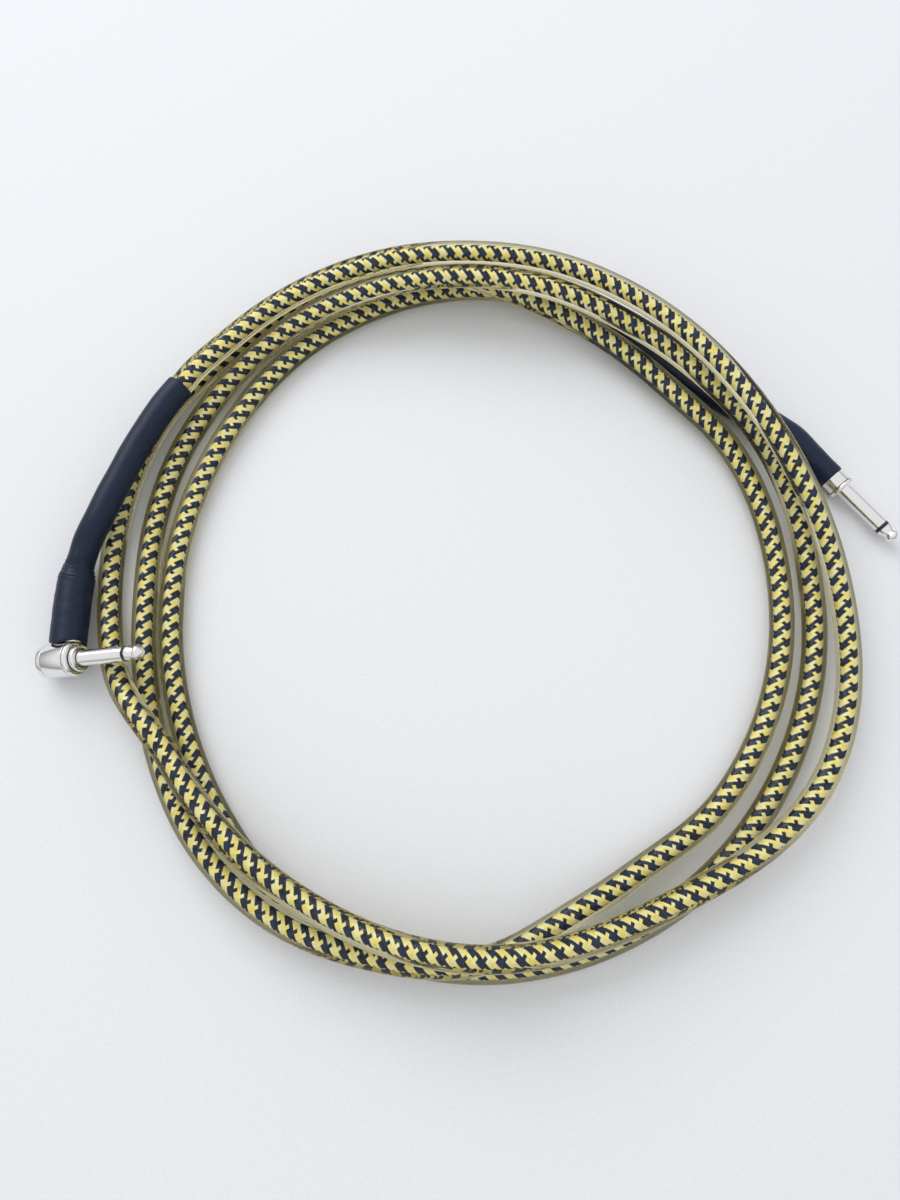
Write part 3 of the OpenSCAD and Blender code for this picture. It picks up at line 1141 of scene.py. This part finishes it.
class CABLE_OT_make_plugs(Operator):
    """Turned and plated pieces of both plugs, with finishes on their inner pieces"""

    bl_idname = "instrument_cable.make_plugs"
    bl_label = "Plugs"

    def execute(self, context):
        settings = context.scene.plug_settings
        nickel = metal_material("bright_nickel", settings.nickel, roughness=0.14)
        black = moulded_material("black_ring", settings.insulator, roughness=0.35)
        # Painted shade: a dark matt material on the rings in the seams and grooves.
        seam = moulded_material("painted_seam_shade", (0.05, 0.05, 0.055), roughness=0.6)
        places = {"angle": angle_place(), "straight": straight_place()}
        turned = {
            ("angle", "tip"): tip_profile(PIN_BACK_ANGLE),
            ("angle", "tip_ring"): RING,
            ("angle", "shaft"): eased(ANGLE_SHAFT, EASE),
            ("angle", "cap"): eased(ANGLE_CAP, EASE),
            ("straight", "tip"): tip_profile(PIN_BACK_STRAIGHT),
            ("straight", "tip_ring"): RING,
            ("straight", "shaft"): eased(STRAIGHT_SHAFT, EASE),
            ("straight", "barrel"): eased(STRAIGHT_BARREL, EASE),
        }
        for (plug, part), profile in turned.items():
            material, slot = nickel, "nickel"
            if part == "tip_ring":
                material, slot = black, "black_insulator"
            piece = turned_piece(
                f"{plug}_plug_{part}", f"{plug}_{part}", [profile], places[plug], material
            )
        self.make_angle_body(nickel)
        # Dark rings in the seams and grooves, which paint the shade that falls in them.
        for plug, profiles in (("angle", ANGLE_SEAMS), ("straight", STRAIGHT_SEAMS)):
            seams = turned_piece(f"{plug}_plug_seams", None, profiles, places[plug], seam)
        self.finish_inner_pieces()
        return {"FINISHED"}

    def make_angle_body(self, nickel):
        """The round body with the neck that the cable comes in by."""
        points, faces = lathe_mesh([eased(ANGLE_BODY, EASE)], angle_place())
        more, more_faces = lathe_mesh([eased(ANGLE_NECK, EASE)], neck_place())
        faces += [tuple(i + len(points) for i in face) for face in more_faces]
        body = mesh_object("angle_plug_body", points + more, faces, [nickel])
        weld_and_sharpen(body.data)
        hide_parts("angle_body")

    def finish_inner_pieces(self):
        """Materials of the pieces inside the plugs."""
        brass = metal_material("terminal_brass", (0.72, 0.55, 0.26), roughness=0.3)
        finishes = {
            "insulating_tube": moulded_material("milky_tube", (0.76, 0.74, 0.66), 0.45),
            "washer": moulded_material("brown_fibre", (0.30, 0.17, 0.09), 0.7),
            "tip_lug": brass,
            "ground_lug": brass,
            "core": moulded_material("white_insulation", (0.82, 0.82, 0.78), 0.4),
            "shield_wire": metal_material(
                "copper_wire", (0.72, 0.38, 0.22), 0.35, scale=2500.0, depth=0.0001
            ),
            "solder": metal_material(
                "soft_solder", (0.62, 0.62, 0.64), 0.4, scale=600.0, depth=0.0002
            ),
        }
        for plug in ("angle", "straight"):
            for part, material in finishes.items():
                dress(f"{plug}_{part}", material)


# ---------------------------------------------------------------------------
# Stage
# ---------------------------------------------------------------------------

CAMERA_PLACE = (-0.0114, -0.1557, 0.3629)
CAMERA_TILT = math.radians(16.1)
CAMERA_NEAR = 0.01
SENSOR_W = 36
FLOOR_R = 20.0
FLOOR_SIDES = 120
LAMP_PLACE = (-0.88, 1.32, 1.5)
LAMP_AIM = (0, -0.04, 0)
LAMP_D = 1.9

# Colour of the sky at the horizon, and from a height up that is a share of straight up.
SKY_LOW = (0.22, 0.23, 0.25)
SKY_HIGH = (0.97, 0.98, 1.0)
SKY_EVEN_FROM = 0.45
SKY_STRENGTH = 0.90


def pale_floor(colour):
    """Plain matt floor with a faint grain."""
    material, tree, shader = plain_material(
        "pale_floor", Roughness=0.9, Specular_IOR_Level=0.1
    )
    grain = grain_bump(tree, shader, scale=900.0, depth=0.0002, strength=0.08)
    paler = tuple(min(1.0, 1.04 * c) for c in colour)
    mixed_colour(tree, shader, grain.outputs["Fac"], tuple(colour), paler)
    return material


class CABLE_OT_make_stage(Operator):
    """Camera, floor, sky and lamp"""

    bl_idname = "instrument_cable.make_stage"
    bl_label = "Stage"

    def execute(self, context):
        scene = context.scene
        settings = scene.stage_settings
        self.place_camera(scene, settings)
        self.lay_floor(scene, settings)
        self.light_world(scene)
        self.hang_lamp(scene, settings)
        scene.view_settings.view_transform = "Standard"
        return {"FINISHED"}

    def place_camera(self, scene, settings):
        """Camera above the coil's near side, tilted a little towards its far side."""
        data = bpy.data.cameras.new("camera")
        data.lens = settings.lens
        data.sensor_width = SENSOR_W
        data.clip_start = CAMERA_NEAR
        camera = bpy.data.objects.new("camera", data)
        camera.location = CAMERA_PLACE
        camera.rotation_euler = (CAMERA_TILT, 0, 0)
        scene.collection.objects.link(camera)
        scene.camera = camera

    def lay_floor(self, scene, settings):
        """Round floor that reaches to the horizon."""
        rim = []
        for k in range(FLOOR_SIDES):
            turn = 2 * math.pi * k / FLOOR_SIDES
            rim.append((FLOOR_R * math.cos(turn), FLOOR_R * math.sin(turn), 0))
        mesh = bpy.data.meshes.new("floor")
        mesh.from_pydata(rim, [], [tuple(range(FLOOR_SIDES))])
        mesh.materials.append(pale_floor(settings.floor_colour))
        floor = bpy.data.objects.new("floor", mesh)
        scene.collection.objects.link(floor)

    def hang_lamp(self, scene, settings):
        """Wide soft lamp above the coil's far side."""
        data = bpy.data.lights.new("soft_lamp", "AREA")
        data.energy = settings.lamp_power
        data.shape = "DISK"
        data.size = LAMP_D
        lamp = bpy.data.objects.new("soft_lamp", data)
        lamp.location = LAMP_PLACE
        aim = Vector(LAMP_AIM) - Vector(LAMP_PLACE)
        lamp.rotation_euler = aim.to_track_quat("-Z", "Y").to_euler()
        scene.collection.objects.link(lamp)

    def light_world(self, scene):
        """Even pale sky, darker towards the horizon."""
        world = bpy.data.worlds.new("pale_sky")
        world.use_nodes = True
        tree = world.node_tree
        sky = tree.nodes["Background"]
        place = node(tree, "ShaderNodeTexCoord")
        split = node(tree, "ShaderNodeSeparateXYZ")
        ramp = node(tree, "ShaderNodeValToRGB")
        ramp.color_ramp.elements[0].position = 0.0
        ramp.color_ramp.elements[0].color = (*SKY_LOW, 1)
        ramp.color_ramp.elements[1].position = SKY_EVEN_FROM
        ramp.color_ramp.elements[1].color = (*SKY_HIGH, 1)
        tree.links.new(place.outputs["Generated"], split.inputs["Vector"])
        tree.links.new(split.outputs["Z"], ramp.inputs["Fac"])
        tree.links.new(ramp.outputs["Color"], sky.inputs["Color"])
        sky.inputs["Strength"].default_value = SKY_STRENGTH
        scene.world = world


# ---------------------------------------------------------------------------
# Panel and registration
# ---------------------------------------------------------------------------

OPERATORS = (
    CABLE_OT_make_stage,
    CABLE_OT_make_angle_sleeves,
    CABLE_OT_make_straight_sleeves,
    CABLE_OT_make_plugs,
    CABLE_OT_make_cable,
)


class CABLE_PT_panel(Panel):
    """Lists the cable's operators and settings in the sidebar"""

    bl_idname = "CABLE_PT_panel"
    bl_label = "Instrument cable"
    bl_space_type = "VIEW_3D"
    bl_region_type = "UI"
    bl_category = "Cable"

    def draw(self, context):
        for operator in OPERATORS:
            self.layout.operator(operator.bl_idname)
        for group in ("cable_settings", "sleeve_settings", "plug_settings", "stage_settings"):
            settings = getattr(context.scene, group)
            for name in settings.bl_rna.properties.keys():
                if name not in ("rna_type", "name"):
                    self.layout.prop(settings, name)


SETTINGS = {
    "cable_settings": CableSettings,
    "sleeve_settings": SleeveSettings,
    "plug_settings": PlugSettings,
    "stage_settings": StageSettings,
}


def register():
    """Adds the settings, the operators and the panel."""
    for group in SETTINGS.values():
        bpy.utils.register_class(group)
    for operator in OPERATORS:
        bpy.utils.register_class(operator)
    bpy.utils.register_class(CABLE_PT_panel)
    for name, group in SETTINGS.items():
        setattr(bpy.types.Scene, name, PointerProperty(type=group))


def unregister():
    """Takes away what register adds."""
    for name in SETTINGS:
        delattr(bpy.types.Scene, name)
    bpy.utils.unregister_class(CABLE_PT_panel)
    for operator in reversed(OPERATORS):
        bpy.utils.unregister_class(operator)
    for group in reversed(SETTINGS.values()):
        bpy.utils.unregister_class(group)


def main():
    """Builds the whole scene."""
    register()
    bpy.ops.instrument_cable.make_stage()
    bpy.ops.instrument_cable.make_angle_sleeves()
    bpy.ops.instrument_cable.make_straight_sleeves()
    bpy.ops.instrument_cable.make_plugs()
    bpy.ops.instrument_cable.make_cable()


if __name__ == "__main__":
    main()
